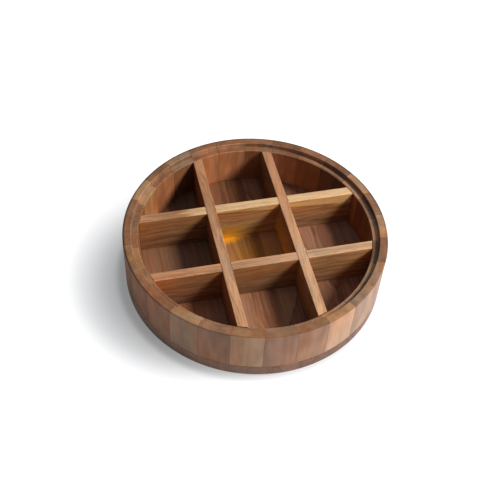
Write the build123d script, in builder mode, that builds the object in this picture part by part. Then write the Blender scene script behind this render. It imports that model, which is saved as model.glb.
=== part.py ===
from build123d import *
import os
from math import cos, radians, sin

# Round divided spice tray. Millimetres, +Z up, origin at the middle of the underside.
# A ring of glued staves stands on a disc of edge-glued boards. Inside it stands a loose
# egg-crate grid of four dividers: two long ones along Y and two cross ones along X.

# Overall
tray_diameter = 250.0
tray_height = 60.0

# Base disc
base_thickness = 15.0
base_edge_round = 4.0
board_width = 62.0
board_seam_x = 12.0  # the board seam nearest the middle

# Wall of staves
wall_thickness = 14.0
rim_width = 8.0
rebate_depth = 5.0
rim_outer_ease = 1.5
rim_inner_ease = 0.8
ledge_ease = 0.8
stave_count = 26
first_seam = 12.1  # degrees from +X
seam_swing = 1.3  # degrees: the staves run a little narrower on one side of the ring
seam_swing_heading = 125.0  # degrees from +X, where the seams are pushed forward the most

# Divider grid
divider_thickness = 9.4
divider_spacing = 72.0  # centre to centre
divider_ease = 0.8
wall_clearance = 0.4  # from a divider's end to the wall, so that the grid lifts out
lap_clearance = 0.1  # each side of a half-lap slot

# Sizes that follow
outer_radius = tray_diameter / 2
inner_radius = outer_radius - wall_thickness
rebate_radius = outer_radius - rim_width
ledge_height = tray_height - rebate_depth
divider_height = ledge_height - base_thickness
divider_places = (-divider_spacing / 2, divider_spacing / 2)
slot_width = divider_thickness + 2 * lap_clearance
slot_depth = divider_height / 2


def radial_plane(heading):
    """The upright plane through the tray's axis: its X points outwards and its Y up."""
    turn = radians(heading)
    return Plane(origin=(0, 0, 0), x_dir=(cos(turn), sin(turn), 0), z_dir=(sin(turn), -cos(turn), 0))


def seam_heading(index):
    """Where a seam between two staves stands, in degrees from +X."""
    even = first_seam + index * 360 / stave_count
    return even + seam_swing * cos(radians(even - seam_swing_heading))


def make_stave(start, end):
    """One stave: the wall's section carried round the axis from one seam to the next."""
    with BuildPart() as stave:
        with BuildSketch(radial_plane(start)) as section:
            with BuildLine():
                Polyline(
                    (outer_radius, base_thickness),
                    (outer_radius, tray_height),
                    (rebate_radius, tray_height),
                    (rebate_radius, ledge_height),
                    (inner_radius, ledge_height),
                    (inner_radius, base_thickness),
                    close=True,
                )
            make_face()
            rim_inner_corner, rim_outer_corner = section.vertices().group_by(Axis.Y)[-1].sort_by(Axis.X)
            ledge_corner = section.vertices().group_by(Axis.X)[0].sort_by(Axis.Y)[-1]
            fillet(rim_outer_corner, rim_outer_ease)
            fillet(rim_inner_corner, rim_inner_ease)
            fillet(ledge_corner, ledge_ease)
        revolve(axis=Axis.Z, revolution_arc=end - start)
    return stave


def make_base_board(left, right):
    """One board of the base: the slice of the disc between two board seams."""
    with BuildPart() as board:
        with BuildSketch():
            Circle(outer_radius)
        extrude(amount=base_thickness)
        fillet(board.edges().group_by(Axis.Z)[0], base_edge_round)
        with BuildSketch():
            with Locations(((left + right) / 2, 0)):
                Rectangle(right - left, tray_diameter)
        extrude(amount=base_thickness, mode=Mode.INTERSECT)
    return board


def make_divider(centre, length_axis, slot_bottom):
    """One divider: a bar with its ends cut to the wall's curve, and a half-lap slot at each crossing."""
    along_y = length_axis == Axis.Y
    with BuildPart() as divider:
        with BuildSketch(Plane.XY.offset(base_thickness)):
            Circle(inner_radius - wall_clearance)
            with Locations((centre, 0) if along_y else (0, centre)):
                width, depth = (divider_thickness, tray_diameter) if along_y else (tray_diameter, divider_thickness)
                Rectangle(width, depth, mode=Mode.INTERSECT)
        extrude(amount=divider_height)
        with BuildSketch(Plane.XY.offset(slot_bottom)):
            with Locations(*[(centre, place) if along_y else (place, centre) for place in divider_places]):
                Rectangle(slot_width, slot_width)
        extrude(amount=slot_depth, mode=Mode.SUBTRACT)
        fillet(divider.edges().group_by(Axis.Z)[-1].filter_by(length_axis), divider_ease)
    return divider


def save(piece, name):
    """Label a finished piece and write it."""
    piece.part.label = name
    export_step(piece.part, f"parts/{name}.step")


os.makedirs("parts", exist_ok=True)

# The wall
for index in range(stave_count):
    save(make_stave(seam_heading(index), seam_heading(index + 1)), f"stave_{index + 1:02d}")

# The base: the outer boards reach from the last seam to the disc's edge
board_seams = [board_seam_x - board_width, board_seam_x, board_seam_x + board_width]
board_edges = [-outer_radius, *board_seams, outer_radius]
for index, (left, right) in enumerate(zip(board_edges, board_edges[1:])):
    save(make_base_board(left, right), f"base_board_{index + 1}")

# The grid: the long dividers are slotted from below, the cross dividers from above
for place, side in zip(divider_places, ("left", "right")):
    save(make_divider(place, Axis.Y, base_thickness), f"long_divider_{side}")
for place, side in zip(divider_places, ("front", "back")):
    save(make_divider(place, Axis.X, base_thickness + slot_depth), f"cross_divider_{side}")
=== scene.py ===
import math

import bmesh
import bpy
from bpy.props import FloatProperty, FloatVectorProperty, IntProperty
from mathutils import Matrix, Vector


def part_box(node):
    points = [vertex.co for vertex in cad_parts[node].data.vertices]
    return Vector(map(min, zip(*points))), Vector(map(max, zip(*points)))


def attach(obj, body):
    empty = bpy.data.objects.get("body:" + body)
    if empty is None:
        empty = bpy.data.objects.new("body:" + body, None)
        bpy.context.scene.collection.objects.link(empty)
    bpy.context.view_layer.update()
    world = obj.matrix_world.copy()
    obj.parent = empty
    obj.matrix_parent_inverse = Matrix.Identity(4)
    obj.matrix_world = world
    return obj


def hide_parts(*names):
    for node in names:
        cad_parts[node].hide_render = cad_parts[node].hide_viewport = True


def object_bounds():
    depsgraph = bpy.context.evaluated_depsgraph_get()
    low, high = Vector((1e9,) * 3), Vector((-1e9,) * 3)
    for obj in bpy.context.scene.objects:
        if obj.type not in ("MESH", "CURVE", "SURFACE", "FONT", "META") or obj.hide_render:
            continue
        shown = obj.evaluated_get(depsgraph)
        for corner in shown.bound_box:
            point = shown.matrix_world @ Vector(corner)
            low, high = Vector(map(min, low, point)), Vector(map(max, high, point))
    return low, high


# Looks of a round divided wooden spice tray. Metres, in the frame's own axes: +Z up, the tray
# standing on z = 0, the long dividers along Y and the cross dividers along X.

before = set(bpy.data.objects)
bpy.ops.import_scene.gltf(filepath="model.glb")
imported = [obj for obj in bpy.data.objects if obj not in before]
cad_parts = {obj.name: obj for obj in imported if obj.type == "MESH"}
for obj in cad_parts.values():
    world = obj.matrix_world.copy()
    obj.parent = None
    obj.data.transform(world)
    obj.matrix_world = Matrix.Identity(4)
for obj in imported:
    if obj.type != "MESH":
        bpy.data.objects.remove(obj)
cad_lowest, cad_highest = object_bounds()

bl_info = {
    "name": "Divided spice tray",
    "version": (1, 0, 0),
    "blender": (4, 5, 0),
    "location": "3D View > Sidebar > Spice tray",
    "description": "Makes the staves, base boards and dividers of a round spice tray, and its stage",
    "category": "Object",
}

STAVES = sorted(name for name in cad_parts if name.startswith("stave_"))
BASE_BOARDS = sorted(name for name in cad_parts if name.startswith("base_board_"))

# Sizes read from the frame
stave_points = [vertex.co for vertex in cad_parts[STAVES[0]].data.vertices]
OUTER_RADIUS = cad_highest.x
TRAY_HEIGHT = cad_highest.z
BASE_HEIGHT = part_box(BASE_BOARDS[0])[1].z
LEDGE_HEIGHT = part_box("long_divider_left")[1].z
INNER_RADIUS = min(point.xy.length for point in stave_points)
REBATE_RADIUS = min(point.xy.length for point in stave_points if point.z > (LEDGE_HEIGHT + TRAY_HEIGHT) / 2)
DIVIDER_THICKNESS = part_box("long_divider_left")[1].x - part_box("long_divider_left")[0].x
DIVIDER_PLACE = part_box("long_divider_right")[1].x - DIVIDER_THICKNESS / 2
HALF_ROOM = DIVIDER_PLACE - DIVIDER_THICKNESS / 2  # of the middle compartment
DIVIDER_REACH = math.hypot(HALF_ROOM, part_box("long_divider_right")[1].y)

# Sizes that the frame doesn't tell
LAP_CLEARANCE = 0.0001  # beside a divider in each half-lap slot
ARC_STEPS = 40  # along each curved side of a base board
MERGE_DISTANCE = 0.000001
CREASE_ANGLE = math.radians(35)  # edges that turn more than this stay crisp
FLOOR_RADIUS = 7.5
STAIN_MARGIN = 0.0005  # how far the stain reaches past its room's sides

# How each stave was cut: its wood, by name, how strong its figure is, and how light its inner and its outer
# face are beside its sawn ends. Staves go round from the one nearest +X, anticlockwise from above. That
# lightness is partly each stave's own tone and partly painted light and shade: the outer faces on the shaded
# left are painted darker, the inner faces in shade at the back right lighter, and those in the deepest shade
# on the right darker.
STAVE_WOOD = (
    ("pale", 0.3, 0.5, 1.0), ("dark", 0.4, 1.0, 1.0), ("brown", 0.35, 1.4, 1.0), ("dark", 0.4, 2.0, 1.0),
    ("brown", 0.45, 1.0, 1.0), ("red", 0.4, 1.6, 1.0), ("red", 0.35, 1.3, 1.0), ("olive", 0.3, 0.52, 1.0),
    ("red", 0.5, 0.9, 1.0), ("wheat", 0.25, 0.57, 1.0), ("brown", 0.4, 0.72, 0.8), ("brown", 0.4, 0.64, 0.55),
    ("straw", 0.45, 0.9, 0.55), ("tan", 0.5, 1.0, 0.72), ("red", 0.45, 1.0, 1.0), ("pale", 0.3, 1.0, 0.82),
    ("tan", 0.4, 1.0, 0.82), ("straw", 0.45, 1.0, 1.29), ("tan", 0.4, 1.0, 0.9), ("brown", 0.45, 1.0, 1.06),
    ("pale", 0.35, 1.0, 0.98), ("olive", 0.3, 1.0, 0.93), ("olive", 0.4, 1.0, 0.92), ("dark", 0.4, 0.8, 0.45),
    ("pale", 0.4, 0.5, 0.8), ("tan", 0.35, 0.5, 0.9),
)

# Wood tones of the sawn faces, sRGB, as a maker would sort the offcuts
WOOD_TONES = {
    "wheat": (0.85, 0.655, 0.48),
    "pale": (0.79, 0.605, 0.45),
    "straw": (0.75, 0.545, 0.38),
    "tan": (0.72, 0.525, 0.39),
    "amber": (0.70, 0.495, 0.34),
    "olive": (0.71, 0.56, 0.44),
    "brown": (0.68, 0.495, 0.365),
    "red": (0.68, 0.475, 0.34),
    "dark": (0.62, 0.455, 0.345),
    "umber": (0.48, 0.32, 0.21),
    "walnut": (0.59, 0.405, 0.29),
    "char": (0.36, 0.25, 0.155),
}

# What each effect multiplies the wood's colour by: red, green and blue, linear. Some of them are painted
# light and shade rather than the wood's own colour, and say so where they are used
TINTS = {
    "warm": (1.10, 0.98, 0.88),
    "cool": (0.90, 0.99, 1.08),
    "dark": (0.46, 0.38, 0.32),
    "light": (1.25, 1.30, 1.36),
    "dull sap": (0.70, 0.60, 0.50),
    "deep": (0.86, 0.83, 0.80),
    "bright": (1.10, 1.12, 1.13),
    "glued": (0.45, 0.36, 0.30),
    "rebate shade": (0.45, 0.38, 0.33),
    "riser": (0.98, 1.20, 1.55),
    "ledge": (0.95, 0.98, 1.00),
    "ledge corner": (1.85, 1.90, 1.95),
    "back rim shade": (0.42, 0.42, 0.44),
    "front edge": (0.66, 0.62, 0.60),
    "back edge": (0.38, 0.34, 0.33),
    "inner edge": (1.10, 1.25, 1.40),
    "yellowed": (1.14, 1.02, 0.42),
    "face top": (1.08, 0.92, 0.66),
    "foot": (0.52, 0.54, 0.54),
    "middle foot": (0.88, 1.04, 1.00),
    "amber foot": (2.1, 2.0, 0.7),
    "turned": (1.22, 1.40, 1.85),
    "board edge": (1.15, 1.14, 1.10),
}


def linear(colour):
    """An sRGB colour as the linear one that Blender's sockets and attributes hold."""
    return [c / 12.92 if c <= 0.04045 else ((c + 0.055) / 1.055) ** 2.4 for c in colour]


def tone(name):
    return linear(WOOD_TONES[name])


def tint(name):
    return (*TINTS[name], 1)


# ---- settings


def number(name, description, default):
    return FloatProperty(name=name, description=description, default=default)


def length(name, description, default):
    return FloatProperty(name=name, description=description, default=default, unit="LENGTH")


def angle(name, description, degrees):
    return FloatProperty(name=name, description=description, default=math.radians(degrees), subtype="ANGLE")


def paint_colour(name, description, default, most=1):
    return FloatVectorProperty(
        name=name, description=description, default=default, subtype="COLOR", min=0, max=most
    )


class TraySizes(bpy.types.PropertyGroup):
    """Sizes that the finished pieces add to the frame's own."""

    rim_ease: length("Rim ease", "Rounding of the rim's outer edge", 0.0015)
    inner_ease: length("Inner ease", "Rounding of the rim's and the ledge's inner edges", 0.0008)
    sanded_ease: length("Sanded ease", "Rounding of the edges that were only sanded", 0.0003)
    seam_groove: length("Seam groove", "Depth of the fine groove at a glued seam", 0.00012)
    base_round: length("Base round", "Rounding of the base's lower edge", 0.004)
    top_ease: length("Divider ease", "Rounding of a divider's top edges", 0.0008)
    round_steps: IntProperty(name="Round steps", description="Facets in each rounded edge", default=5, min=2)
    stave_rows: IntProperty(
        name="Stave rows", description="Rows of points across a stave, an odd number", default=11, min=5
    )


class TrayFinish(bpy.types.PropertyGroup):
    """Colours and wear of the wood, and the painted sheen on its outer wall."""

    sapwood: paint_colour(
        "Sapwood", "Pale outer wood on the back cross divider", linear((0.89, 0.73, 0.54))
    )
    end_grain: paint_colour("End grain", "How much end grain darkens the wood", (0.69, 0.66, 0.62))
    inside: paint_colour("Inside", "How the oil left inside the tray warms the wood", (1.04, 0.88, 0.70), 2)
    # Partly painted sheen: besides the duller wood outside, this paler, greyer tint stands in for the sheen
    # on the outer wall
    outside: paint_colour("Outside", "How wiping dulls the wood of the outer wall", (1.10, 1.20, 1.45), 2)
    spice: paint_colour("Spice", "The spice stain in the middle compartment", linear((0.93, 0.62, 0.04)))
    spice_strength: FloatProperty(
        name="Spice strength", description="How strong the spice stain is", default=1.0, subtype="FACTOR",
        min=0, max=1,
    )


class TrayStage(bpy.types.PropertyGroup):
    """Camera, lamps and floor."""

    turn: angle("Turn", "How far the camera stands round from the tray's front", -16.08)
    elevation: angle("Elevation", "How steeply the camera looks down", 49.74)
    roll: angle("Roll", "How far the camera is tipped about its own line of sight", 3.966)
    distance: length("Distance", "From the camera to the point it aims at", 0.8691)
    lens: number("Lens", "Focal length in millimetres", 61.75)
    aim_right: length("Aim right", "The aimed point, to the camera's right of the tray's middle", -0.0041)
    aim_away: length("Aim away", "The aimed point, beyond the tray's middle", 0.0234)
    key_heading: angle("Key heading", "Where the key light comes from, anticlockwise from +X", -19)
    key_elevation: angle("Key elevation", "How high the key light stands", 45.5)
    key_distance: length("Key distance", "From the tray to the key light", 2.0)
    key_size: length("Key size", "Width of the round key light", 0.7)
    key_power: number("Key power", "Power of the key light in watts", 47.2)
    top_height: length("Top light height", "Height of the broad light overhead", 1.2)
    top_power: number("Top power", "Power of the light overhead in watts", 1.3)
    sky: number("Sky", "Brightness of the room round the tray", 0.055)
    sky_tint: paint_colour("Sky tint", "Colour of the room's and the overhead light", (0.76, 0.98, 1.32), 2)
    floor_tone: number("Floor tone", "How white the floor is to the tray", 0.85)
    seen_tone: number("Seen tone", "How white the floor is to the camera, before its glow", 0.22)
    shadow_lift: number("Shadow lift", "Least brightness of the floor to the camera, next to the tray", 0.37)
    shadow_heading: angle("Shadow heading", "Side of the tray where its shadow on the floor is widest", 181)
    shadow_shift: length("Shadow shift", "How far the shadow's middle lies from the tray's", 0.0545)
    shadow_core: length("Shadow core", "How far from its middle the shadow stays at its darkest", 0.0734)
    shadow_reach: length("Shadow reach", "Where the shadow has faded, from its own middle", 0.143)
    contact: length("Contact shadow", "Width of the darker line on the floor beside the tray", 0.009)
    contact_tone: number("Contact tone", "Brightness of the floor at that line, beside the rest", 0.66)
    contact_shift: length("Contact shift", "How far along X that line's middle lies from the tray's", -0.004)


# ---- node trees


class Tree:
    """Adds nodes to a tree and links them, so that each step of a pattern is one line."""

    def __init__(self, tree):
        self.nodes = tree.nodes
        self.links = tree.links

    def give(self, socket, value):
        if isinstance(value, bpy.types.Node):
            value = next(output for output in value.outputs if output.enabled)
        if isinstance(value, bpy.types.NodeSocket):
            self.links.new(value, socket)
        else:
            socket.default_value = value

    def add(self, kind, inputs=None, **settings):
        node = self.nodes.new(kind)
        for name, value in settings.items():
            setattr(node, name, value)
        for name, value in (inputs or {}).items():
            self.give(node.inputs[name], value)
        return node

    def geometry(self, kind, inputs=None, **settings):
        return self.add("GeometryNode" + kind, inputs, **settings)

    def math(self, operation, *values, clamp=False):
        node = self.add("ShaderNodeMath", dict(enumerate(values)), operation=operation, use_clamp=clamp)
        return node.outputs[0]

    def times(self, first, *others, clamp=False):
        for other in others:
            first = self.math("MULTIPLY", first, other, clamp=clamp)
        return first

    def plus(self, a, b, clamp=False):
        return self.math("ADD", a, b, clamp=clamp)

    def minus(self, a, b):
        return self.math("SUBTRACT", a, b)

    def less(self, a, b):
        """1 where a is less than b, and 0 elsewhere."""
        return self.math("LESS_THAN", a, b)

    def vector(self, operation, *values, scale=None):
        node = self.add("ShaderNodeVectorMath", dict(enumerate(values)), operation=operation)
        if scale is not None:
            self.give(node.inputs["Scale"], scale)
        return next(output for output in node.outputs if output.enabled)

    def join(self, x=0.0, y=0.0, z=0.0):
        return self.add("ShaderNodeCombineXYZ", {"X": x, "Y": y, "Z": z}).outputs[0]

    def split(self, value):
        return self.add("ShaderNodeSeparateXYZ", {0: value}).outputs

    def step(self, value, low, high, to_low=0.0, to_high=1.0):
        inputs = {"Value": value, "From Min": low, "From Max": high, "To Min": to_low, "To Max": to_high}
        return self.add("ShaderNodeMapRange", inputs, interpolation_type="SMOOTHSTEP").outputs[0]

    def blend(self, share, a, b):
        """Two numbers blended."""
        return self.add("ShaderNodeMix", {0: share, 2: a, 3: b}).outputs[0]

    def mix(self, share, a, b, way="MIX"):
        """Two colours blended."""
        return self.add("ShaderNodeMix", {0: share, 6: a, 7: b}, data_type="RGBA", blend_type=way).outputs[2]

    def dye(self, colour, by, where=1.0):
        """A colour multiplied by another, or by a tint's name, as far as the mask where says."""
        return self.mix(where, colour, tint(by) if isinstance(by, str) else by, "MULTIPLY")

    def read(self, name, output="Fac"):
        """One of the mesh's attributes."""
        return self.add("ShaderNodeAttribute", attribute_name=name).outputs[output]

    def noise(self, vector, stretch, detail=2.0, roughness=0.5):
        """Noise that changes as fast along each axis as stretch says."""
        stretched = self.vector("MULTIPLY", vector, stretch)
        inputs = {"Vector": stretched, "Scale": 1.0, "Detail": detail, "Roughness": roughness}
        return self.add("ShaderNodeTexNoise", inputs).outputs


NUMBER, WHOLE, VECTOR, COLOUR = (f"NodeSocket{kind}" for kind in ("Float", "Int", "Vector", "Color"))


def new_group(name, kind, inputs, outputs, gives=NUMBER):
    """A node group: it, its Tree, its inputs and its output node's inputs.

    inputs holds each input's default, or its type where it has none; the outputs are all of one type."""
    group = bpy.data.node_groups.new(name, kind)
    for label, default in inputs.items():
        typed = isinstance(default, str)
        socket_type = default if typed else {float: NUMBER, int: WHOLE, tuple: VECTOR}[type(default)]
        socket = group.interface.new_socket(name=label, in_out="INPUT", socket_type=socket_type)
        if not typed:
            socket.default_value = default
    for label in outputs:
        group.interface.new_socket(name=label, in_out="OUTPUT", socket_type=gives)
    tree = Tree(group)
    return group, tree, tree.add("NodeGroupInput").outputs, tree.add("NodeGroupOutput").inputs


FIGURE_PARTS = ("Rings", "Bands", "Streaks", "Drift", "Fibre", "Pores", "Heart")


def wood_figure():
    """Growth rings, bands, streaks, fibres, pores and dark heart of solid wood whose grain runs along Z."""
    group, tree, given, result = new_group(
        "Wood figure", "ShaderNodeTree",
        {"Wood": VECTOR, "Ring Gap": 0.0045, "Wander": 0.01, "Ripple": 0.0016}, FIGURE_PARTS,
    )
    wood = given["Wood"]

    def push(stretch, detail, reach):
        way = tree.vector("SUBTRACT", tree.noise(wood, stretch, detail)["Color"], (0.5, 0.5, 0.5))
        return tree.vector("SCALE", way, scale=given[reach])

    def ring_noise(scale, detail):
        inputs = {"W": radius, "Scale": scale, "Detail": detail}
        return tree.add("ShaderNodeTexNoise", inputs, noise_dimensions="1D").outputs[0]

    pushed = tree.vector("ADD", wood, push((34, 34, 15), 2.0, "Wander"))
    pushed = tree.vector("ADD", pushed, push((120, 120, 45), 1.0, "Ripple"))
    x, y, _ = tree.split(pushed)
    radius = tree.vector("LENGTH", tree.join(x, y))
    spread = tree.times(ring_noise(90.0, 2.0), 2.2)
    turns = tree.plus(tree.math("DIVIDE", radius, given["Ring Gap"]), spread)
    late = tree.math("FRACT", turns)
    each = tree.add("ShaderNodeTexWhiteNoise", {"W": tree.math("FLOOR", turns)}, noise_dimensions="1D")
    fading = tree.noise(wood, (140, 140, 32), 2.0)[0]
    rings = tree.times(
        tree.step(late, 0.25, 0.9), tree.step(late, 0.93, 1.0, 1.0, 0.0),
        tree.step(fading, 0.32, 0.62, 0.1, 1.0), tree.step(each.outputs[0], 0.0, 1.0, 0.15, 1.0),
    )
    parts = (
        rings,
        tree.step(ring_noise(130.0, 3.0), 0.3, 0.7),
        tree.step(tree.noise(pushed, (300, 300, 14), 4.0, 0.62)[0], 0.3, 0.7),
        tree.step(tree.noise(wood, (38, 38, 14), 2.0)[0], 0.3, 0.7),
        tree.noise(wood, (1500, 1500, 60), 3.0, 0.6)[0],
        tree.step(tree.noise(wood, (1100, 1100, 110), 1.0)[0], 0.62, 0.74),
        tree.step(tree.math("ABSOLUTE", x), 0.003, 0.011, 1.0, 0.0),
    )
    for name, part in zip(FIGURE_PARTS, parts, strict=True):
        tree.give(result[name], part)
    return group


def board_colour():
    """The colour of a board from its tone, its figure and where its sapwood starts."""
    group, tree, given, result = new_group(
        "Board colour", "ShaderNodeTree",
        {
            "Tone": COLOUR, "Sapwood": COLOUR, "Sap Distance": -1.0, "Wood": VECTOR, "Figure": 1.0,
            "Heart Strength": 0.0, "Ring Strength": 0.6, **dict.fromkeys(FIGURE_PARTS, 0.0),
        },
        ["Color"], COLOUR,
    )
    sawn = tree.dye(given["Tone"], tree.mix(given["Drift"], tint("cool"), tint("warm")))
    dark, light = tree.dye(sawn, "dark"), tree.dye(sawn, "light")
    broad = tree.times(tree.minus(given["Bands"], 0.45), given["Figure"])
    colour = tree.mix(tree.times(broad, 1.2, clamp=True), sawn, light)
    colour = tree.mix(tree.times(broad, -1.0, clamp=True), colour, dark)
    heart = tree.times(given["Heart"], given["Heart Strength"])
    strong = tree.plus(given["Figure"], heart)
    colour = tree.mix(tree.times(heart, 0.35), colour, dark)
    colour = tree.mix(tree.times(given["Rings"], strong, given["Ring Strength"]), colour, dark)
    streaked = tree.times(tree.minus(0.55, given["Streaks"]), strong)
    colour = tree.mix(tree.times(streaked, 0.95, clamp=True), colour, dark)
    colour = tree.mix(tree.times(streaked, -1.3, clamp=True), colour, light)
    ragged = tree.noise(given["Wood"], (260, 260, 18), 3.0)[0]
    edge = tree.plus(given["Sap Distance"], tree.times(tree.minus(ragged, 0.5), 0.006))
    sap_figure = tree.plus(tree.times(given["Rings"], 0.4), tree.times(streaked, 1.1), clamp=True)
    pale = tree.dye(given["Sapwood"], "dull sap", sap_figure)
    colour = tree.mix(tree.step(edge, -0.0015, 0.0015), colour, pale)
    sap_line = tree.times(tree.step(edge, -0.003, -0.0004), tree.step(edge, -0.0004, 0.0006, 1.0, 0.0))
    colour = tree.mix(tree.times(sap_line, 0.45), colour, dark)
    fibres = tree.times(tree.minus(given["Fibre"], 0.5), given["Figure"], 0.7)
    colour = tree.dye(colour, tree.plus(fibres, 1.0))
    pores = tree.times(given["Pores"], given["Figure"], 0.5)
    tree.give(result["Color"], tree.mix(pores, colour, dark))
    return group


def rounded_edges():
    """Where a rounded edge turns between an upright and a level face, from the surface's direction. The
    staves paint edge shade and highlight through its Edge mask, the boards their edges' wear.
    """
    group, tree, given, result = new_group(
        "Rounded edges", "ShaderNodeTree", {"Direction": VECTOR}, ("Edge", "Level")
    )
    rise = tree.split(given["Direction"])[2]
    level = tree.times(rise, rise)
    tree.give(result["Edge"], tree.step(tree.times(level, tree.minus(1.0, level)), 0.02, 0.24))
    tree.give(result["Level"], tree.step(level, 0.15, 0.85))
    return group


def glue_seam():
    """The fine dark line of glue where two boards meet."""
    group, tree, given, result = new_group(
        "Glue seam", "ShaderNodeTree", {"Gap": 1.0, "Wood": VECTOR, "Width": 0.0005}, ["Line"]
    )
    broken = tree.noise(given["Wood"], (90, 90, 60), 2.0)[0]
    width = tree.times(given["Width"], tree.step(broken, 0.3, 0.7, 0.35, 1.3))
    tree.give(result["Line"], tree.step(tree.math("DIVIDE", given["Gap"], width), 0.0, 1.0, 1.0, 0.0))
    return group


def spice_stain():
    """Spice rubbed into the wood: a strong spill, a weaker corner and a faint wash, kept in a square room."""
    inputs = {"Place": VECTOR, "Wood": VECTOR, "Room": 1.0, "Wash Strength": 0.35}
    for spot in ("Spill", "Corner", "Wash"):
        inputs.update({f"{spot} Centre": (0.0, 0.0, 0.0), f"{spot} Reach": (1.0, 1.0, 1.0)})
    group, tree, given, result = new_group("Spice stain", "ShaderNodeTree", inputs, ("Stain", "Kept In"))
    patchy = tree.noise(given["Wood"], (300, 300, 25), 2.0)[0]
    uneven = tree.times(tree.minus(patchy, 0.5), 0.25)

    def spread(spot):
        away = tree.vector("SUBTRACT", given["Place"], given[f"{spot} Centre"])
        away = tree.vector("LENGTH", tree.vector("DIVIDE", away, given[f"{spot} Reach"]))
        return tree.step(tree.plus(away, uneven), 0.0, 1.0, 1.0, 0.0)

    x, y, _ = tree.split(tree.vector("ABSOLUTE", given["Place"]))
    kept_in = tree.less(tree.math("MAXIMUM", x, y), given["Room"])
    strong = tree.math("MAXIMUM", spread("Spill"), tree.times(spread("Corner"), 0.5))
    stain = tree.math("MAXIMUM", strong, tree.times(spread("Wash"), given["Wash Strength"]))
    tree.give(result["Stain"], tree.times(stain, kept_in))
    tree.give(result["Kept In"], kept_in)
    return group


SHADER_GROUPS = {}


def use_group(tree, build, inputs):
    """Places a shader node group in a material, built the first time it is asked for."""
    if build not in SHADER_GROUPS:
        SHADER_GROUPS[build] = build()
    node = tree.add("ShaderNodeGroup", node_tree=SHADER_GROUPS[build])
    for name, value in inputs.items():
        tree.give(node.inputs[name], value)
    return node.outputs


def empty_tree(owner):
    """Switches a material's or a world's nodes on and clears them."""
    owner.use_nodes = True
    owner.node_tree.nodes.clear()
    return Tree(owner.node_tree)


def start_wood(name):
    """A material with only its shader, and what it reads: plank place, tray place, direction and edges."""
    material = bpy.data.materials.new(name)
    tree = empty_tree(material)
    shader = tree.add("ShaderNodeBsdfPrincipled")
    tree.add("ShaderNodeOutputMaterial", {"Surface": shader})
    coordinates = tree.add("ShaderNodeTexCoord").outputs
    edges = use_group(tree, rounded_edges, {"Direction": coordinates["Normal"]})
    wood = tree.read("wood", "Vector")
    return material, tree, shader, wood, coordinates["Object"], coordinates["Normal"], edges


def sawn_colour(tree, pale, wood, figure, strength, sap, heart, rings):
    """The colour of a piece as it was sawn, from its own attributes and the figure of its wood."""
    inputs = {
        "Tone": tree.read("tone", "Color"), "Sapwood": (*pale, 1), "Sap Distance": sap, "Wood": wood,
        "Figure": strength, "Heart Strength": heart, "Ring Strength": rings,
    }
    inputs.update({part: figure[part] for part in FIGURE_PARTS})
    return use_group(tree, board_colour, inputs)["Color"]


def finish_wood(tree, shader, colour, figure, relief, roughness, shine):
    """What the wood materials share: the oil's sheen and the relief of the grain."""
    tree.give(shader.inputs["Base Color"], colour)
    dry = tree.plus(tree.times(figure["Fibre"], 0.16), roughness - 0.08)
    tree.give(shader.inputs["Roughness"], tree.plus(dry, tree.times(figure["Pores"], 0.12)))
    raised = tree.minus(tree.times(figure["Rings"], 0.5), figure["Pores"])
    height = tree.plus(raised, tree.times(figure["Fibre"], 0.6))
    bump = tree.add("ShaderNodeBump", {"Strength": 0.6, "Distance": relief, "Height": height})
    tree.give(shader.inputs["Normal"], bump)
    tree.give(shader.inputs["Specular IOR Level"], shine)


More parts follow.
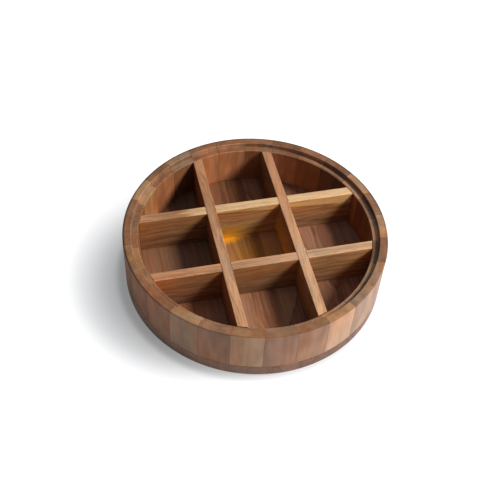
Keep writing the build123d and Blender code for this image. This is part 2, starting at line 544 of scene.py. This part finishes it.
def stave_material(finish):
    """Oiled staves: each its own tone, upright grain, end grain on the rim and ledge, glue seams."""
    material, tree, shader, wood, place, normal, edges = start_wood("Stave wood")
    inputs = {"Wood": wood, "Ring Gap": 0.0042, "Wander": 0.008, "Ripple": 0.0008}
    figure = use_group(tree, wood_figure, inputs)
    x, y, height = tree.split(place)
    flat_place = tree.join(x, y)
    radius = tree.vector("LENGTH", flat_place)
    steep = tree.minus(1.0, edges["Level"])
    facing = tree.vector("DOT_PRODUCT", flat_place, normal)
    inwards = tree.step(facing, -0.5 * INNER_RADIUS, 0.0, 1.0, 0.0)
    wiped = tree.step(facing, 0.0, 0.5 * OUTER_RADIUS, 1.0, 0.6)
    strength = tree.times(tree.read("figure"), wiped)
    colour = sawn_colour(tree, finish.sapwood, wood, figure, strength, -1.0, 0.0, 0.3)
    cloudy = tree.step(tree.noise(wood, (75, 75, 30), 1.0)[0], 0.3, 0.7)
    colour = tree.dye(colour, tree.mix(cloudy, tint("deep"), tint("bright")))
    colour = tree.dye(colour, (*finish.end_grain, 1), edges["Level"])

    # The oil on the upright faces inside; outside a duller tint that is partly a painted sheen; and each
    # stave's lightness inside and outside, partly its own tone and partly painted light and shade
    oil_and_sheen = tree.mix(inwards, (*finish.outside, 1), (*finish.inside, 1))
    lightness = tree.blend(inwards, tree.read("outside"), tree.read("inside"))
    shade = tree.join(tree.math("POWER", lightness, 0.75), lightness, tree.math("POWER", lightness, 1.2))
    colour = tree.dye(colour, tree.dye(oil_and_sheen, shade), steep)

    # Glue in the seams, and painted shade darkening the corner of the rebate
    seam = use_group(tree, glue_seam, {"Gap": tree.read("seam_gap"), "Wood": wood})["Line"]
    colour = tree.dye(colour, "glued", tree.times(seam, 0.6))
    aside = tree.join(tree.minus(radius, REBATE_RADIUS), tree.minus(height, LEDGE_HEIGHT))
    rebate_corner_shade = tree.step(tree.vector("LENGTH", aside), 0.0, 0.0022, 1.0, 0.0)
    colour = tree.dye(colour, "rebate shade", tree.times(rebate_corner_shade, 0.1))

    # The riser and the ledge of the rebate. The riser is painted paler and cooler all round: partly its own
    # tone, partly painted light
    riser = tree.math("GREATER_THAN", height, LEDGE_HEIGHT + 0.0001)
    colour = tree.dye(colour, "riser", tree.times(riser, inwards, steep))
    ledge = tree.less(height, LEDGE_HEIGHT + 0.001)
    # Painted light: the outer part of the ledge on the right, where the rim's shadow falls, is painted nearly
    # twice as light; elsewhere the ledge is a little darker and cooler
    corner = tree.step(radius, INNER_RADIUS + 0.0016, INNER_RADIUS + 0.0030)
    corner = tree.times(corner, tree.step(x, 0.07, 0.10))
    ledge_tone_and_light = tree.mix(corner, tint("ledge"), tint("ledge corner"))
    colour = tree.dye(colour, ledge_tone_and_light, tree.times(ledge, edges["Level"]))

    # Painted shade along the rim's outer edge at the back; on the rounded edges, painted shade on the outer
    # ones, darkest at the back, and lighter inner edges, partly wear and partly a painted highlight
    behind = tree.step(y, -0.07, 0.03)
    outline = tree.step(radius, OUTER_RADIUS - 0.0028, OUTER_RADIUS - 0.0014)
    colour = tree.dye(colour, "back rim shade", tree.times(outline, edges["Level"], behind, 0.8))
    edge_shade_and_highlight = tree.mix(behind, tint("front edge"), tint("back edge"))
    edge_shade_and_highlight = tree.mix(inwards, edge_shade_and_highlight, tint("inner edge"))
    colour = tree.dye(colour, edge_shade_and_highlight, tree.times(edges["Edge"], 0.8))
    finish_wood(tree, shader, colour, figure, 0.000012, 0.60, 0.1)
    return material


def board_material(name, finish, pale, stain, ring_gap, heart, taper):
    """Oiled boards with pale sapwood and the spice stain; the grain attribute says which way the grain runs.

    The sapwood narrows by taper for each metre from the tray's middle along Y, which keeps the pale wood out
    of the front and back compartments where shade falls: partly painted shade."""
    material, tree, shader, wood, place, normal, edges = start_wood(name)
    figure = use_group(tree, wood_figure, {"Wood": wood, "Ring Gap": ring_gap})
    x, y, height = tree.split(place)
    sap = tree.minus(tree.read("sap"), tree.times(tree.math("ABSOLUTE", y), taper))
    colour = sawn_colour(tree, pale, wood, figure, tree.read("figure"), sap, heart, 0.6)
    along = tree.math("ABSOLUTE", tree.vector("DOT_PRODUCT", normal, tree.read("grain", "Vector")))
    colour = tree.dye(colour, (*finish.end_grain, 1), tree.step(along, 0.4, 0.9))

    # Spice: a yellow tint first, then a coat
    spice = use_group(tree, spice_stain, {"Place": place, "Wood": wood, **stain})
    spilt = tree.times(spice["Stain"], finish.spice_strength)
    colour = tree.dye(colour, "yellowed", tree.step(spilt, 0.0, 0.4))
    coat = tree.times(tree.step(spilt, 0.1, 0.95), 0.8)
    colour = tree.mix(coat, colour, (*finish.spice, 1))

    # The dividers' upright faces. Painted shade: darker and cooler at the foot, less so in the middle
    # compartment, and warmer at the top
    foot = tree.mix(spice["Kept In"], tint("foot"), tint("middle foot"))
    # Partly spice dust, partly painted bounce light: the foot of the middle compartment's far side is painted
    # amber and about twice as light
    far_side = tree.step(x, HALF_ROOM - 0.0018, HALF_ROOM - 0.0008)
    foot = tree.mix(tree.times(spice["Kept In"], far_side), foot, tint("amber foot"))
    face = tree.mix(tree.step(height, BASE_HEIGHT, LEDGE_HEIGHT), foot, tint("face top"))
    # Painted light and shade: each divider's face lightness scales its upright faces
    face = tree.vector("SCALE", face, scale=tree.read("face"))
    steep = tree.minus(1.0, edges["Level"])
    upright = tree.times(steep, tree.math("GREATER_THAN", height, BASE_HEIGHT))
    colour = tree.dye(colour, face, upright)

    # The band of the base that shows below the wall, painted paler and cooler all round, partly its own tone
    # and partly painted light; and the rounded edges, lighter where worn
    outside = tree.times(steep, tree.less(height, BASE_HEIGHT))
    colour = tree.dye(colour, "turned", outside)
    colour = tree.dye(colour, "board edge", tree.times(edges["Edge"], 0.6))
    finish_wood(tree, shader, colour, figure, 0.00006, 0.52, 0.25)
    return material


# ---- shared mesh steps


def settle(obj, mesh):
    """Gives an object a plain mesh with crisp corners and even shading on its broad faces."""
    mesh.set_sharp_from_angle(angle=CREASE_ANGLE)
    obj.modifiers.clear()
    obj.data = mesh
    obj.modifiers.new("Shading", "WEIGHTED_NORMAL").keep_sharp = True
    obj.data = evaluated_mesh(obj)
    obj.modifiers.clear()


def evaluated_mesh(obj):
    graph = bpy.context.evaluated_depsgraph_get()
    graph.update()
    evaluated = obj.evaluated_get(graph)
    return bpy.data.meshes.new_from_object(evaluated, preserve_all_data_layers=True, depsgraph=graph)


def new_piece(name, mesh):
    obj = bpy.data.objects.new(name, mesh)
    bpy.context.scene.collection.objects.link(obj)
    return obj


def hand_over(piece, body, node):
    """Seats a finished piece in the frame: parents it to what it moves with and hides the part it stands for.
    """
    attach(piece, body)
    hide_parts(node)


def paint(mesh, name, kind, value_of):
    """Writes one attribute over a mesh's points, from a function of the point."""
    layer = mesh.attributes.new(name, kind, "POINT")
    field = {"FLOAT": "value", "FLOAT_VECTOR": "vector", "FLOAT_COLOR": "color"}[kind]
    for item, vertex in zip(layer.data, mesh.vertices):
        setattr(item, field, value_of(vertex.co))


def closed_mesh(name, outlines):
    """A closed mesh strung over outlines that have as many points each, its two ends filled."""
    shape = bmesh.new()
    rings = [[shape.verts.new(point) for point in outline] for outline in outlines]
    for near, far in zip(rings, rings[1:]):
        for start in range(len(near)):
            end = (start + 1) % len(near)
            shape.faces.new((near[start], near[end], far[end], far[start]))
    shape.faces.new(rings[0])
    shape.faces.new(rings[-1])
    bmesh.ops.remove_doubles(shape, verts=shape.verts, dist=MERGE_DISTANCE)
    bmesh.ops.dissolve_degenerate(shape, edges=shape.edges, dist=MERGE_DISTANCE)
    bmesh.ops.recalc_face_normals(shape, faces=shape.faces)
    for face in shape.faces:
        face.smooth = True
    mesh = bpy.data.meshes.new(name)
    shape.to_mesh(mesh)
    shape.free()
    return mesh


# ---- staves


def stave_tree(wall):
    """Geometry nodes for one stave: the wall's section, its corners rounded, carried round the axis."""
    own = {
        "Start": 0.0, "End": 0.2, "Rows": 11, "Steps": 5, "Seed": 0, "Tone": COLOUR, "Figure": 1.0,
        "Inside": 1.0, "Outside": 1.0, "Material": "NodeSocketMaterial",
    }
    group, tree, given, result = new_group(
        "Stave", "GeometryNodeTree", {**wall, **own}, ["Mesh"], "NodeSocketGeometry"
    )
    corners = (
        ("Outer Radius", "Base Height", "Sanded Ease"), ("Outer Radius", "Top Height", "Rim Ease"),
        ("Rebate Radius", "Top Height", "Inner Ease"), ("Rebate Radius", "Ledge Height", "Sanded Ease"),
        ("Inner Radius", "Ledge Height", "Inner Ease"), ("Inner Radius", "Base Height", "Sanded Ease"),
    )
    index = tree.geometry("InputIndex").outputs[0]
    position = tree.geometry("InputPosition").outputs[0]
    places = tree.geometry("IndexSwitch", {"Index": index}, data_type="VECTOR")
    eases = tree.geometry("IndexSwitch", {"Index": index}, data_type="FLOAT")
    for item, (radius, height, ease) in enumerate(corners, start=1):
        if item > 2:
            places.index_switch_items.new()
            eases.index_switch_items.new()
        tree.give(places.inputs[item], tree.join(given[radius], given[height]))
        tree.give(eases.inputs[item], given[ease])

    # The section, drawn with x as the radius and y as the height
    points = tree.geometry("MeshLine", {"Count": len(corners)})
    points = tree.geometry("SetPosition", {"Geometry": points, "Position": places})
    outline = tree.geometry("MeshToCurve", {"Mesh": points})
    outline = tree.geometry("SetSplineCyclic", {"Geometry": outline, "Cyclic": True})
    inputs = {"Curve": outline, "Count": given["Steps"], "Radius": eases, "Limit Radius": True}
    section = tree.geometry("FilletCurve", inputs, mode="POLY")
    count = tree.geometry("AttributeDomainSize", {"Geometry": section}, component="CURVE").outputs[0]

    def neighbour(step):
        other = tree.math("MODULO", tree.plus(tree.plus(index, count), step), count)
        inputs = {"Value": position, "Index": other}
        return tree.geometry("FieldAtIndex", inputs, data_type="FLOAT_VECTOR").outputs[0]

    run = tree.split(tree.vector("NORMALIZE", tree.vector("SUBTRACT", neighbour(1), neighbour(-1))))
    inwards = tree.join(tree.times(run[1], -1.0), run[0])
    offset = tree.vector("SCALE", inwards, scale=given["Seam Groove"])
    inner_section = tree.geometry("SetPosition", {"Geometry": section, "Offset": offset})

    # A grid of section points by rows; its end rows take the drawn-in section
    columns = tree.plus(count, 1)
    grid = tree.geometry("MeshGrid", {"Vertices X": columns, "Vertices Y": given["Rows"]})
    row = tree.math("MODULO", index, given["Rows"])
    column = tree.math("MODULO", tree.math("FLOOR", tree.math("DIVIDE", index, given["Rows"])), count)
    last_row = tree.minus(given["Rows"], 1)
    is_last = tree.math("GREATER_THAN", row, tree.minus(last_row, 0.5))
    at_end = tree.plus(tree.less(row, 0.5), is_last)

    def taken_from(shape):
        inputs = {"Geometry": shape, "Value": position, "Index": column}
        return tree.geometry("SampleIndex", inputs, data_type="FLOAT_VECTOR").outputs[0]

    inputs = {"Switch": at_end, "False": taken_from(section), "True": taken_from(inner_section)}
    flat = tree.geometry("Switch", inputs, input_type="VECTOR")
    lip = tree.math("DIVIDE", given["Seam Groove"], given["Outer Radius"])
    share = tree.math("DIVIDE", tree.minus(row, 1), tree.minus(last_row, 2))
    first, final = tree.plus(given["Start"], lip), tree.minus(given["End"], lip)
    heading = tree.plus(first, tree.times(share, tree.minus(final, first)))
    heading = tree.math("MINIMUM", tree.math("MAXIMUM", heading, given["Start"]), given["End"])

    def stood_up(shape, where, turn):
        radius, height, _ = tree.split(where)
        x, y = (tree.times(radius, tree.math(part, turn)) for part in ("COSINE", "SINE"))
        place = tree.join(x, y, height)
        return tree.geometry("SetPosition", {"Geometry": shape, "Position": place})

    wall = stood_up(grid, flat, heading)
    cap = tree.geometry("FillCurve", {"Curve": inner_section}, mode="NGONS")
    start_cap = stood_up(cap, position, given["Start"])
    end_cap = tree.geometry("FlipFaces", {"Mesh": stood_up(cap, position, given["End"])})
    whole = tree.geometry("JoinGeometry")
    for shape in (wall, start_cap, end_cap):
        tree.links.new(shape.outputs[0], whole.inputs[0])
    solid = tree.geometry("MergeByDistance", {"Geometry": whole, "Distance": MERGE_DISTANCE})

    # Where each point lies in the plank that the stave was sawn from
    back = tree.times(tree.plus(given["Start"], given["End"]), 0.5, -1.0)
    inputs = {"Vector": position, "Angle": back}
    local = tree.add("ShaderNodeVectorRotate", inputs, rotation_type="Z_AXIS").outputs[0]

    def drawn(low, high, salt):
        node = tree.add("FunctionNodeRandomValue", {"ID": given["Seed"], "Seed": salt})
        node.inputs[2].default_value, node.inputs[3].default_value = low, high
        return node.outputs[1]

    pith_turn, pith_depth = drawn(-0.7, 0.7, 1), drawn(0.035, 0.1, 2)
    x, y = (tree.times(pith_depth, tree.math(part, pith_turn)) for part in ("COSINE", "SINE"))
    pith = tree.join(tree.minus(x, given["Outer Radius"]), y, drawn(-1.0, 1.0, 3))
    inputs = {"Vector": local, "Rotation": tree.join(drawn(-0.09, 0.09, 4), drawn(-0.09, 0.09, 5))}
    leaning = tree.add("ShaderNodeVectorRotate", inputs, rotation_type="EULER_XYZ").outputs[0]
    wood = tree.vector("ADD", leaning, pith)
    across, radial, _ = tree.split(local)
    half = tree.times(tree.minus(given["End"], given["Start"]), 0.5)
    turned = tree.math("ABSOLUTE", tree.math("ARCTAN2", radial, across))
    gap = tree.times(tree.minus(half, turned), given["Outer Radius"])
    for name, kind, value in (
        ("wood", "FLOAT_VECTOR", wood), ("tone", "FLOAT_COLOR", given["Tone"]),
        ("figure", "FLOAT", given["Figure"]), ("seam_gap", "FLOAT", gap),
        ("inside", "FLOAT", given["Inside"]), ("outside", "FLOAT", given["Outside"]),
    ):
        inputs = {"Geometry": solid, "Name": name, "Value": value}
        solid = tree.geometry("StoreNamedAttribute", inputs, data_type=kind)
    smooth = tree.geometry("SetShadeSmooth", {"Geometry": solid})
    real = tree.geometry("RealizeInstances", {"Geometry": smooth})
    inputs = {"Geometry": real, "Material": given["Material"]}
    tree.give(result["Mesh"], tree.geometry("SetMaterial", inputs))
    return group


def stave_ends(node):
    """The headings of the two seams that a stave lies between."""
    points = [vertex.co.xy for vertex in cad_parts[node].data.vertices]
    middle = sum(points, Vector((0, 0)))
    turns = [middle.angle_signed(point) for point in points]
    heading = math.atan2(middle.y, middle.x)
    return heading - max(turns), heading - min(turns)


def set_input(modifier, name, value):
    """Sets one named input of a Geometry Nodes modifier."""
    for item in modifier.node_group.interface.items_tree:
        if item.item_type == "SOCKET" and item.in_out == "INPUT" and item.name == name:
            modifier[item.identifier] = value
            return
    raise KeyError(f"{modifier.node_group.name} has no input named {name}")


class MakeStaves(bpy.types.Operator):
    """Make the ring of staves, each cut from its own piece of wood"""

    bl_idname = "spice_tray.make_staves"
    bl_label = "Make staves"

    def execute(self, context):
        sizes = context.scene.tray_sizes
        wall = {
            "Outer Radius": OUTER_RADIUS, "Rebate Radius": REBATE_RADIUS, "Inner Radius": INNER_RADIUS,
            "Base Height": BASE_HEIGHT, "Ledge Height": LEDGE_HEIGHT, "Top Height": TRAY_HEIGHT,
            "Rim Ease": sizes.rim_ease, "Inner Ease": sizes.inner_ease, "Sanded Ease": sizes.sanded_ease,
            "Seam Groove": sizes.seam_groove,
        }
        group, material = stave_tree(wall), stave_material(context.scene.tray_finish)
        for seed, (node, cut) in enumerate(zip(STAVES, STAVE_WOOD, strict=True), start=1):
            wood, figure, inside, outside = cut
            piece = new_piece(f"{node}_wood", bpy.data.meshes.new(node))
            modifier = piece.modifiers.new("Stave", "NODES")
            modifier.node_group = group
            start, end = stave_ends(node)
            own = {
                "Start": start, "End": end, "Rows": sizes.stave_rows, "Steps": sizes.round_steps,
                "Seed": seed, "Tone": (*tone(wood), 1), "Figure": figure, "Inside": inside,
                "Outside": outside, "Material": material,
            }
            for name, value in {**wall, **own}.items():
                set_input(modifier, name, value)
            settle(piece, evaluated_mesh(piece))
            hand_over(piece, "tray", node)
        return {"FINISHED"}


# ---- base boards


def board_outline(left, right, radius, lip, steps):
    """A slice of the disc seen from above, anticlockwise, its corners at the seams cut by the lip.

    left or right is None where the slice reaches the disc's edge."""

    def arc(x_from, x_to, side):
        first, last = math.acos(x_from / radius), math.acos(x_to / radius)
        turns = [first + (last - first) * step / steps for step in range(steps + 1)]
        return [Vector((radius * math.cos(turn), side * radius * math.sin(turn))) for turn in turns]

    def seam(x, side):
        reach = math.sqrt(radius**2 - x**2) - lip
        return [Vector((x, -side * reach)), Vector((x, side * reach))]

    low = -radius if left is None else left + lip
    high = radius if right is None else right - lip
    points = arc(low, high, -1)
    points += arc(high, low, 1)[1:] if right is None else seam(right, 1) + arc(high, low, 1)
    return points[:-1] if left is None else points + seam(left, -1)


def board_mesh(name, left, right, sizes):
    """One base board: level outlines joined up the rounded edge, and closed above and below."""
    lip, rounding = sizes.seam_groove, sizes.base_round
    levels = []
    for step in range(sizes.round_steps + 1):
        turn = math.pi / 2 * step / sizes.round_steps
        levels.append((rounding * (1 - math.cos(turn)), OUTER_RADIUS - rounding * (1 - math.sin(turn))))
    sanded = sizes.sanded_ease
    levels += [(BASE_HEIGHT - sanded, OUTER_RADIUS), (BASE_HEIGHT, OUTER_RADIUS - sanded)]
    outlines = []
    for height, radius in levels:
        inset = lip if height in (0, BASE_HEIGHT) else 0.0
        low = None if left is None else left + inset
        high = None if right is None else right - inset
        outlines.append([(*point, height) for point in board_outline(low, high, radius, lip, ARC_STEPS)])
    return closed_mesh(name, outlines)


def paint_tones(mesh, cut, reach):
    """Writes a board's tones, from its end at -Y to the one at +Y, and the strength of its figure."""
    near, far = (Vector((*tone(name), 1)) for name in cut["tone"])
    paint(mesh, "tone", "FLOAT_COLOR", lambda p: near.lerp(far, 0.5 + 0.5 * p.y / reach))
    paint(mesh, "figure", "FLOAT", lambda p: cut["figure"])


def finish_board(mesh, material, body, node):
    mesh.materials.append(material)
    piece = new_piece(f"{node}_wood", mesh)
    settle(piece, mesh)
    hand_over(piece, body, node)


def stain_inputs(wash_strength, **spots):
    """The stain's inputs, from each spot's centre and reach in half widths of the middle compartment."""
    inputs = {"Wash Strength": wash_strength, "Room": HALF_ROOM + STAIN_MARGIN}
    for name, (centre, reach) in spots.items():
        inputs[f"{name} Centre"] = Vector(centre) * HALF_ROOM + Vector((0, 0, BASE_HEIGHT))
        inputs[f"{name} Reach"] = Vector(reach) * HALF_ROOM
    return inputs


# Base boards from -X to +X: the tones at the front and at the back, how strong the figure is, the pith's
# place, as its x and z, and the x up to which the wood is pale at the middle, or -1 for no pale wood. Boards
# 1 and 2 darken towards the back, partly their own tone and partly painted shade of the back compartments.
BOARD_CUTS = (
    dict(tone=("red", "char"), figure=0.45, pith=(-0.13, 0.0), sap=-1.0),
    dict(tone=("red", "umber"), figure=0.45, pith=(-0.008, 0.004), sap=-1.0),
    dict(tone=("walnut", "walnut"), figure=0.6, pith=(0.070, 0.0), sap=0.0565),
    dict(tone=("walnut", "walnut"), figure=0.6, pith=(0.14, -0.03), sap=-1.0),
)


class MakeBaseBoards(bpy.types.Operator):
    """Make the edge-glued boards of the base"""

    bl_idname = "spice_tray.make_base_boards"
    bl_label = "Make base boards"

    def execute(self, context):
        sizes, finish = context.scene.tray_sizes, context.scene.tray_finish
        stain = stain_inputs(
            0.32, Spill=((-0.85, 1, 0), (1.15, 0.48, 1)), Corner=((-0.2, 1, 0), (1.3, 0.15, 1)),
            Wash=((0, 0, 0), (2.2, 2.2, 1)),
        )
        material = board_material("Base wood", finish, tone("amber"), stain, 0.005, 0.9, 0.5)
        for index, (node, cut) in enumerate(zip(BASE_BOARDS, BOARD_CUTS, strict=True)):
            left = None if node == BASE_BOARDS[0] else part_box(node)[0].x
            right = None if node == BASE_BOARDS[-1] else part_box(node)[1].x
            mesh = board_mesh(node, left, right, sizes)
            pith = Vector((*cut["pith"], -index * 0.7))
            paint(mesh, "wood", "FLOAT_VECTOR", lambda p: p.xzy - pith)
            paint(mesh, "grain", "FLOAT_VECTOR", lambda p: (0, 1, 0))
            paint(mesh, "sap", "FLOAT", lambda p: cut["sap"] - p.x)
            paint_tones(mesh, cut, OUTER_RADIUS)
            paint(mesh, "face", "FLOAT", lambda p: 1.0)
            finish_board(mesh, material, "tray", node)
        return {"FINISHED"}


# ---- dividers


def divider_section(sizes, low, high):
    """Across a divider, anticlockwise: its bottom, its sides with a point at half height, its rounded top."""
    half, middle = DIVIDER_THICKNESS / 2, (BASE_HEIGHT + LEDGE_HEIGHT) / 2
    sanded, ease = sizes.sanded_ease, sizes.top_ease
    points = [(half - sanded, BASE_HEIGHT), (half, BASE_HEIGHT + sanded), (half, middle)]
    for step in range(sizes.round_steps + 1):
        turn = math.pi / 2 * step / sizes.round_steps
        points.append((half - ease * (1 - math.cos(turn)), LEDGE_HEIGHT - ease * (1 - math.sin(turn))))
    points += [(-x, z) for x, z in reversed(points)]
    return [(x, min(max(z, low), high)) for x, z in points]


def divider_mesh(name, centre, slots, sizes):
    """One divider along Y: sections strung from end to end, cut down where a slot crosses it.

    slots is "below" or "above", where the half-lap slots open."""
    middle = (BASE_HEIGHT + LEDGE_HEIGHT) / 2
    whole = divider_section(sizes, BASE_HEIGHT, LEDGE_HEIGHT)
    cut = divider_section(sizes, *((middle, LEDGE_HEIGHT) if slots == "below" else (BASE_HEIGHT, middle)))
    slot_half = DIVIDER_THICKNESS / 2 + LAP_CLEARANCE

    def to_wall(side):
        return [(centre + x, side * math.sqrt(DIVIDER_REACH**2 - (centre + x) ** 2), z) for x, z in whole]

    outlines = [to_wall(-1)]
    for place in (-DIVIDER_PLACE, DIVIDER_PLACE):
        for section, along in ((whole, -slot_half), (cut, -slot_half), (cut, slot_half), (whole, slot_half)):
            outlines.append([(centre + x, place + along, z) for x, z in section])
    outlines.append(to_wall(1))
    return closed_mesh(name, outlines)


# Each divider: the axis it runs along and on which side of the middle; where its slots open; its tones
# from its first end to its far one; how strong its figure is; how far the grain leans from the length, in
# radians; the pith's place beside and below its top; where its sapwood starts, as the height there at the
# divider's middle and how much that drops for each metre along it; and how light its upright faces are,
# at its middle and how much more at its far end. That lightness is painted light and shade: the long
# dividers, whose seen faces turn away from the key light, darker, and the back cross divider's lit face
# lighter.
DIVIDER_CUTS = {
    "long_divider_left": dict(
        axis="Y", side=-1, slots="below", tone=("pale", "amber"), figure=1.0, lean=0.08, pith=(-0.05, -0.05),
        sap=(0.2, 0.0), face=(0.75, 0.0),
    ),
    "long_divider_right": dict(
        axis="Y", side=1, slots="below", tone=("wheat", "tan"), figure=0.8, lean=-0.10, pith=(0.07, -0.03),
        sap=(0.2, 0.0), face=(0.75, 0.0),
    ),
    "cross_divider_front": dict(
        axis="X", side=-1, slots="above", tone=("tan", "wheat"), figure=0.9, lean=0.02, pith=(-0.04, -0.07),
        sap=(0.2, 0.0), face=(1.0, 0.04),
    ),
    "cross_divider_back": dict(
        axis="X", side=1, slots="above", tone=("straw", "straw"), figure=1.0, lean=0.03, pith=(-0.05, -0.06),
        sap=(0.0501, 0.076), face=(1.22, 0.22),
    ),
}


class MakeDividers(bpy.types.Operator):
    """Make the four dividers of the lift-out grid"""

    bl_idname = "spice_tray.make_dividers"
    bl_label = "Make dividers"

    def execute(self, context):
        sizes, finish = context.scene.tray_sizes, context.scene.tray_finish
        corner_height, corner_reach = 0.026, 0.008
        stain = stain_inputs(
            0.28, Spill=((-0.85, 1, 0), (1.2, 0.6, 0.38)),
            Corner=((-0.5, 1, (corner_height - BASE_HEIGHT) / HALF_ROOM), (1, 1, corner_reach / HALF_ROOM)),
            Wash=((0.15, 0.8, 0), (1.35, 1.2, 0.9)),
        )
        material = board_material("Divider wood", finish, finish.sapwood, stain, 0.004, 0.0, 0.0)
        quarter_turn = Matrix(((0, 1, 0), (1, 0, 0), (0, 0, 1))).to_4x4()
        for index, (node, cut) in enumerate(DIVIDER_CUTS.items()):
            axis, place = cut["axis"], cut["side"] * DIVIDER_PLACE
            mesh = divider_mesh(node, place, cut["slots"], sizes)
            leaning = Matrix.Rotation(cut["lean"], 3, "Y") @ Matrix.Rotation(cut["lean"] / 2, 3, "X")
            pith = Vector((place + cut["pith"][0], LEDGE_HEIGHT + cut["pith"][1], 0))
            sap_height, sap_drop = cut["sap"]
            paint(mesh, "wood", "FLOAT_VECTOR", lambda p: leaning @ (p.xzy - pith) + Vector((0, 0, index)))
            paint_tones(mesh, cut, DIVIDER_REACH)
            paint(mesh, "face", "FLOAT", lambda p: cut["face"][0] + cut["face"][1] * p.y / DIVIDER_REACH)
            paint(mesh, "sap", "FLOAT", lambda p: p.z - sap_height + p.y * sap_drop)
            if axis == "X":
                mesh.transform(quarter_turn)
                mesh.flip_normals()
            paint(mesh, "grain", "FLOAT_VECTOR", lambda p: (1, 0, 0) if axis == "X" else (0, 1, 0))
            finish_board(mesh, material, "divider_grid", node)
        return {"FINISHED"}


# ---- stage


def make_floor(stage):
    """A broad round floor: to the camera it fades to the white of the room away from the tray.
    Near the tray its glow is held down into a painted shadow, widest towards the shadow heading, and a
    painted darker line round the tray's foot.
    """
    material = bpy.data.materials.new("Studio floor")
    tree = empty_tree(material)
    place = tree.add("ShaderNodeTexCoord").outputs["Object"]
    turn, shift = stage.shadow_heading, stage.shadow_shift
    away = tree.vector("DISTANCE", place, (shift * math.cos(turn), shift * math.sin(turn), 0))
    lift = tree.step(away, stage.shadow_core, stage.shadow_reach, stage.shadow_lift, 1.0)
    under = tree.vector("DISTANCE", place, (stage.contact_shift, 0, 0))
    beside = tree.step(under, OUTER_RADIUS, OUTER_RADIUS + stage.contact, stage.contact_tone, 1.0)
    rays = tree.add("ShaderNodeLightPath").outputs
    seen = tree.math("MAXIMUM", rays["Is Camera Ray"], rays["Is Glossy Ray"])
    seen = tree.math("MAXIMUM", seen, rays["Is Transmission Ray"])
    glow = tree.add("ShaderNodeEmission", {"Strength": tree.times(lift, beside, seen)})
    matt = tree.add("ShaderNodeBsdfDiffuse", {"Color": tree.blend(seen, stage.floor_tone, stage.seen_tone)})
    both = tree.add("ShaderNodeAddShader", {0: matt, 1: glow})
    tree.add("ShaderNodeOutputMaterial", {"Surface": both})
    shape = bmesh.new()
    bmesh.ops.create_circle(shape, cap_ends=True, segments=96, radius=FLOOR_RADIUS)
    mesh = bpy.data.meshes.new("studio_floor")
    shape.to_mesh(mesh)
    shape.free()
    mesh.materials.append(material)
    new_piece("studio_floor", mesh)


def make_camera(stage):
    """The photograph's viewing angle: aimed near the tray's middle from in front and above."""
    camera = bpy.data.objects.new("camera", bpy.data.cameras.new("camera"))
    camera.data.lens = stage.lens
    camera.data.sensor_width = 36
    turn = Matrix.Rotation(stage.turn, 4, "Z")
    aim = Matrix.Translation((stage.aim_right, stage.aim_away, 0))
    tilt = Matrix.Rotation(math.pi / 2 - stage.elevation, 4, "X")
    roll = Matrix.Rotation(stage.roll, 4, "Z")
    camera.matrix_world = turn @ aim @ tilt @ roll @ Matrix.Translation((0, 0, stage.distance))
    bpy.context.scene.collection.objects.link(camera)
    bpy.context.scene.camera = camera


def disk_light(name, size, power):
    """A round area light at the origin, pointing down."""
    light = bpy.data.objects.new(name, bpy.data.lights.new(name, "AREA"))
    light.data.shape = "DISK"
    light.data.size = size
    light.data.energy = power
    bpy.context.scene.collection.objects.link(light)
    return light


def make_lights(stage):
    """A soft key light from the right, a broad dim one overhead and a dimmer room."""
    key = disk_light("key_light", stage.key_size, stage.key_power)
    turn, rise = stage.key_heading, stage.key_elevation
    towards = Vector((math.cos(turn) * math.cos(rise), math.sin(turn) * math.cos(rise), math.sin(rise)))
    key.location = towards * stage.key_distance + Vector((0, 0, TRAY_HEIGHT / 2))
    key.rotation_mode = "QUATERNION"
    key.rotation_quaternion = towards.to_track_quat("Z", "Y")
    top = disk_light("top_light", stage.top_height * 0.8, stage.top_power)
    top.data.color = stage.sky_tint
    top.location = (0, 0, stage.top_height)
    world = bpy.data.worlds.new("Room")
    tree = empty_tree(world)
    to_camera = tree.add("ShaderNodeLightPath").outputs["Is Camera Ray"]
    tint_seen = tree.mix(to_camera, (*stage.sky_tint, 1), (1, 1, 1, 1))
    inputs = {"Color": tint_seen, "Strength": tree.blend(to_camera, stage.sky, 1.0)}
    sky = tree.add("ShaderNodeBackground", inputs)
    tree.add("ShaderNodeOutputWorld", {"Surface": sky})
    bpy.context.scene.world = world


class SetStage(bpy.types.Operator):
    """Set up the camera, the lights and the floor"""

    bl_idname = "spice_tray.set_stage"
    bl_label = "Set stage"

    def execute(self, context):
        stage = context.scene.tray_stage
        context.scene.view_settings.view_transform = "Standard"
        make_floor(stage)
        make_camera(stage)
        make_lights(stage)
        return {"FINISHED"}


# ---- add-on


class TrayPanel(bpy.types.Panel):
    """Everything that makes the tray, in the sidebar"""

    bl_idname = "VIEW3D_PT_spice_tray"
    bl_label = "Spice tray"
    bl_space_type = "VIEW_3D"
    bl_region_type = "UI"
    bl_category = "Spice tray"

    def draw(self, context):
        for operator in OPERATORS:
            self.layout.operator(operator.bl_idname)
        for group in SETTINGS:
            settings = getattr(context.scene, group)
            box = self.layout.box()
            for name in settings.__annotations__:
                box.prop(settings, name)


OPERATORS = (MakeStaves, MakeBaseBoards, MakeDividers, SetStage)
SETTINGS = {"tray_sizes": TraySizes, "tray_finish": TrayFinish, "tray_stage": TrayStage}
CLASSES = (*SETTINGS.values(), *OPERATORS, TrayPanel)


def register():
    for each in CLASSES:
        bpy.utils.register_class(each)
    for name, group in SETTINGS.items():
        setattr(bpy.types.Scene, name, bpy.props.PointerProperty(type=group))


def unregister():
    for name in SETTINGS:
        delattr(bpy.types.Scene, name)
    for each in reversed(CLASSES):
        bpy.utils.unregister_class(each)


def main():
    register()
    bpy.ops.spice_tray.make_staves()
    bpy.ops.spice_tray.make_base_boards()
    bpy.ops.spice_tray.make_dividers()
    bpy.ops.spice_tray.set_stage()


if __name__ == "__main__":
    main()
